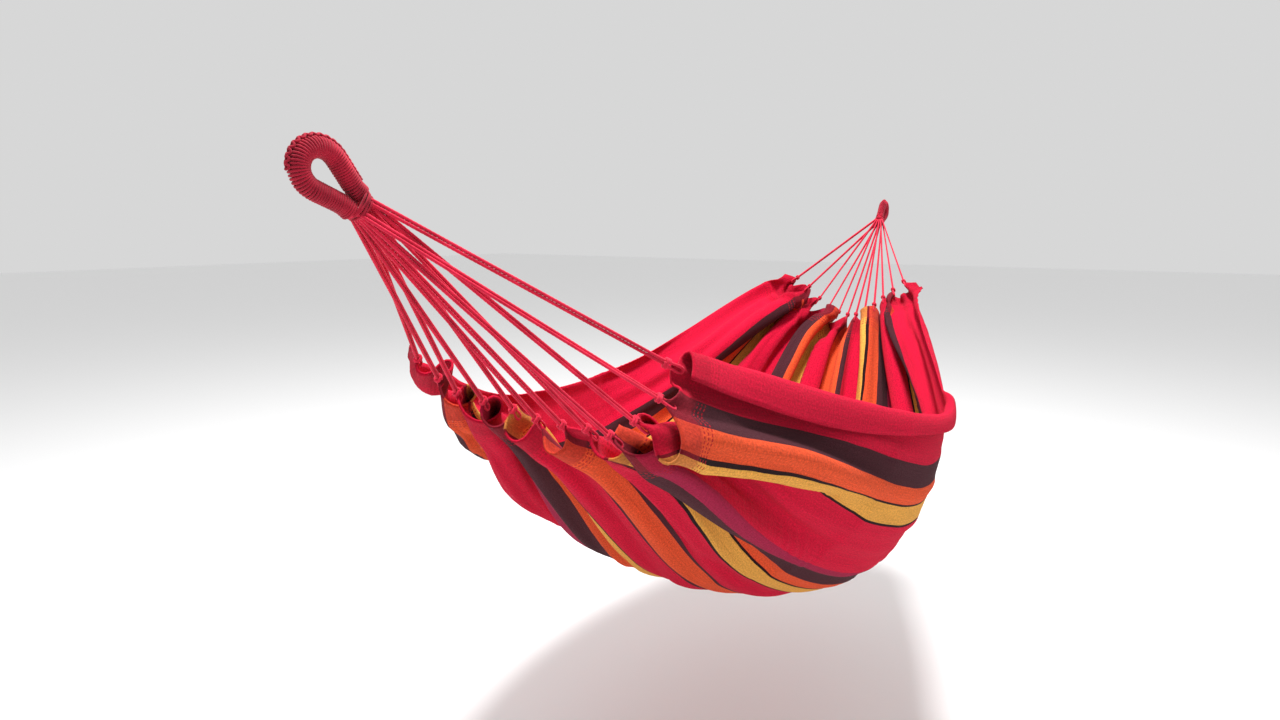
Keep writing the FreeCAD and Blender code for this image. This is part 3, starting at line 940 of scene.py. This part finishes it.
def cloth_material():
    """Striped cotton: dyed bands, a red weft at both ends, three rows of floats, a fine weave."""
    s = Shader("striped_cotton")
    s.surface.inputs["Roughness"].default_value = 0.9
    s.surface.inputs["Specular IOR Level"].default_value = 0.06
    s.surface.inputs["Sheen Weight"].default_value = 0.03
    s.surface.inputs["Sheen Roughness"].default_value = 0.6
    place = s.add("ShaderNodeAttribute", attribute_name="flat_place")
    split = s.add("ShaderNodeSeparateXYZ")
    s.link(place, "Vector", split, "Vector")
    across, along = split.outputs["X"], split.outputs["Y"]
    wander = s.add("ShaderNodeTexNoise", Scale=9.0, Detail=1.0)
    s.link(place, "Vector", wander, "Vector")
    drift = s.math("MULTIPLY", s.math("SUBTRACT", wander.outputs["Fac"], 0.5), 0.006)
    from_middle = s.math("ABSOLUTE", s.math("ADD", s.math("SUBTRACT", across, CLOTH_WIDTH / 2), drift))
    share = s.math("DIVIDE", from_middle, CLOTH_WIDTH / 2)
    ramp = s.add("ShaderNodeValToRGB")
    ramp.color_ramp.interpolation = "CONSTANT"
    total = sum(width for _, width in BANDS)
    at = 0.0
    stops = ramp.color_ramp.elements
    for number, (dye, width) in enumerate(BANDS):
        stop = stops[0] if number == 0 else stops.new(at / total)
        stop.position = at / total
        stop.color = DYES[dye]
        at += width
    stops.remove(stops[-1])
    s.links.new(share, ramp.inputs["Fac"])
    colour = ramp.outputs["Color"]
    # distance from the nearer end edge
    from_end = s.math("MINIMUM", along, s.math("SUBTRACT", CLOTH_LENGTH, along))
    ends = s.add("ShaderNodeMapRange",
                 **{"From Min": 0.050, "From Max": WEFT_END, "To Min": 0.50, "To Max": 0.0})
    s.links.new(from_end, ends.inputs["Value"])
    colour = s.mix(ends.outputs["Result"], colour, rgb(158, 14, 38))
    # three rows of red floats
    row_phase = s.math("FRACT", s.math("DIVIDE", s.math("SUBTRACT", from_end, WEFT_END), FLOAT_PITCH))
    in_row = s.math("LESS_THAN", row_phase, 0.34)
    past_weft = s.math("GREATER_THAN", from_end, WEFT_END)
    in_zone = s.math("MULTIPLY", past_weft, s.math("LESS_THAN", from_end, FLOAT_ROWS_END))
    dash = s.math("LESS_THAN", s.math("FRACT", s.math("DIVIDE", across, FLOAT_STEP)), 0.62)
    floats = s.math("MULTIPLY", s.math("MULTIPLY", in_row, in_zone), dash)
    colour = s.mix(s.math("MULTIPLY", floats, 0.85), colour, rgb(176, 18, 38))
    # uneven yarn: small slubs and a soft mottle
    slub_place = s.add("ShaderNodeMapping")
    slub_place.inputs["Scale"].default_value = (230.0, 170.0, 1.0)
    s.link(place, "Vector", slub_place, "Vector")
    slub = s.add("ShaderNodeTexNoise", Scale=1.0, Detail=4.0, Roughness=0.75)
    s.link(slub_place, "Vector", slub, "Vector")
    slub_tone = s.add("ShaderNodeMapRange",
                      **{"From Min": 0.28, "From Max": 0.72, "To Min": 0.48, "To Max": 1.52})
    s.link(slub, "Fac", slub_tone, "Value")
    tone = s.add("ShaderNodeCombineColor")
    for channel in ("Red", "Green", "Blue"):
        s.link(slub_tone, "Result", tone, channel)
    colour = s.mix(0.75, colour, tone.outputs["Color"], "MULTIPLY")
    # warp streaks and the weave
    streak_place = s.add("ShaderNodeMapping")
    streak_place.inputs["Scale"].default_value = (420.0, 7.0, 1.0)
    s.link(place, "Vector", streak_place, "Vector")
    streak = s.add("ShaderNodeTexNoise", Scale=1.0, Detail=3.0, Roughness=0.65)
    s.link(streak_place, "Vector", streak, "Vector")
    streak_tone = s.add("ShaderNodeMapRange",
                        **{"From Min": 0.25, "From Max": 0.75, "To Min": 0.82, "To Max": 1.14})
    s.link(streak, "Fac", streak_tone, "Value")
    tone = s.add("ShaderNodeCombineColor")
    for channel in ("Red", "Green", "Blue"):
        s.link(streak_tone, "Result", tone, channel)
    colour = s.mix(1.0, colour, tone.outputs["Color"], "MULTIPLY")
    warp = s.math("SINE", s.math("MULTIPLY", across, 2 * math.pi / WARP_STEP))
    weft = s.math("SINE", s.math("MULTIPLY", along, 2 * math.pi / WEFT_STEP))
    weave = s.math("MULTIPLY", warp, weft)
    weave_tone = s.add("ShaderNodeMapRange",
                       **{"From Min": -1.0, "From Max": 1.0, "To Min": 0.90, "To Max": 1.05})
    s.links.new(weave, weave_tone.inputs["Value"])
    tone = s.add("ShaderNodeCombineColor")
    for channel in ("Red", "Green", "Blue"):
        s.link(weave_tone, "Result", tone, channel)
    colour = s.mix(1.0, colour, tone.outputs["Color"], "MULTIPLY")
    s.links.new(colour, s.surface.inputs["Base Color"])
    height = s.math("ADD", s.math("MULTIPLY", weave, 0.5), s.math("MULTIPLY", floats, 1.2))
    height = s.math("ADD", height, s.math("MULTIPLY", streak.outputs["Fac"], 0.8))
    height = s.math("ADD", height, s.math("MULTIPLY", slub.outputs["Fac"], 1.6))
    bump = s.add("ShaderNodeBump", Strength=0.7, Distance=0.0010)
    s.links.new(height, bump.inputs["Height"])
    s.link(bump, "Normal", s.surface, "Normal")
    return s.material


def make_cloth():
    points, faces, flat = cloth_mesh(finer(cloth_net, 1.25))
    cloth = add_mesh("striped_sheet", points, faces, cloth_material())
    attribute = cloth.data.attributes.new("flat_place", "FLOAT_VECTOR", "POINT")
    attribute.data.foreach_set("vector", np.column_stack([flat, np.zeros(len(flat))]).ravel())
    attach(cloth, "bed")
    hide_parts("bed_cloth")


make_cloth()


# ---------------------------------------------------------------- floor and light
FLOOR_DROP = 0.42
FLOOR_HALF = 30
LAMPS_AIM = (1.2, 0, -0.6)


def make_stage():
    lowest = cad_box[0][2] - FLOOR_DROP
    corners = [(-FLOOR_HALF, -FLOOR_HALF, lowest), (FLOOR_HALF, -FLOOR_HALF, lowest),
               (FLOOR_HALF, FLOOR_HALF, lowest), (-FLOOR_HALF, FLOOR_HALF, lowest)]
    floor = add_mesh("floor", corners, [(0, 1, 2, 3)])
    s = Shader("floor_white")
    s.surface.inputs["Base Color"].default_value = (0.93, 0.93, 0.93, 1)
    s.surface.inputs["Roughness"].default_value = 0.9
    floor.data.materials.append(s.material)
    world = bpy.data.worlds.new("studio")
    scene.world = world
    world.use_nodes = True
    world.node_tree.nodes["Background"].inputs["Color"].default_value = (1, 1, 1, 1)
    world.node_tree.nodes["Background"].inputs["Strength"].default_value = 0.68


def make_light(name, place, size, power):
    data = bpy.data.lights.new(name, "AREA")
    data.shape = "RECTANGLE"
    data.size = size
    data.size_y = size
    data.energy = power
    lamp = bpy.data.objects.new(name, data)
    scene.collection.objects.link(lamp)
    lamp.location = place
    lamp.rotation_euler = (Vector(LAMPS_AIM) - Vector(place)).to_track_quat("-Z", "Y").to_euler()


make_stage()
make_light("key", (0.8, -0.2, 4.0), 1.0, 340)
make_light("fill", (3.2, 1.5, 3.2), 2.5, 40)
scene.view_settings.view_transform = "Standard"
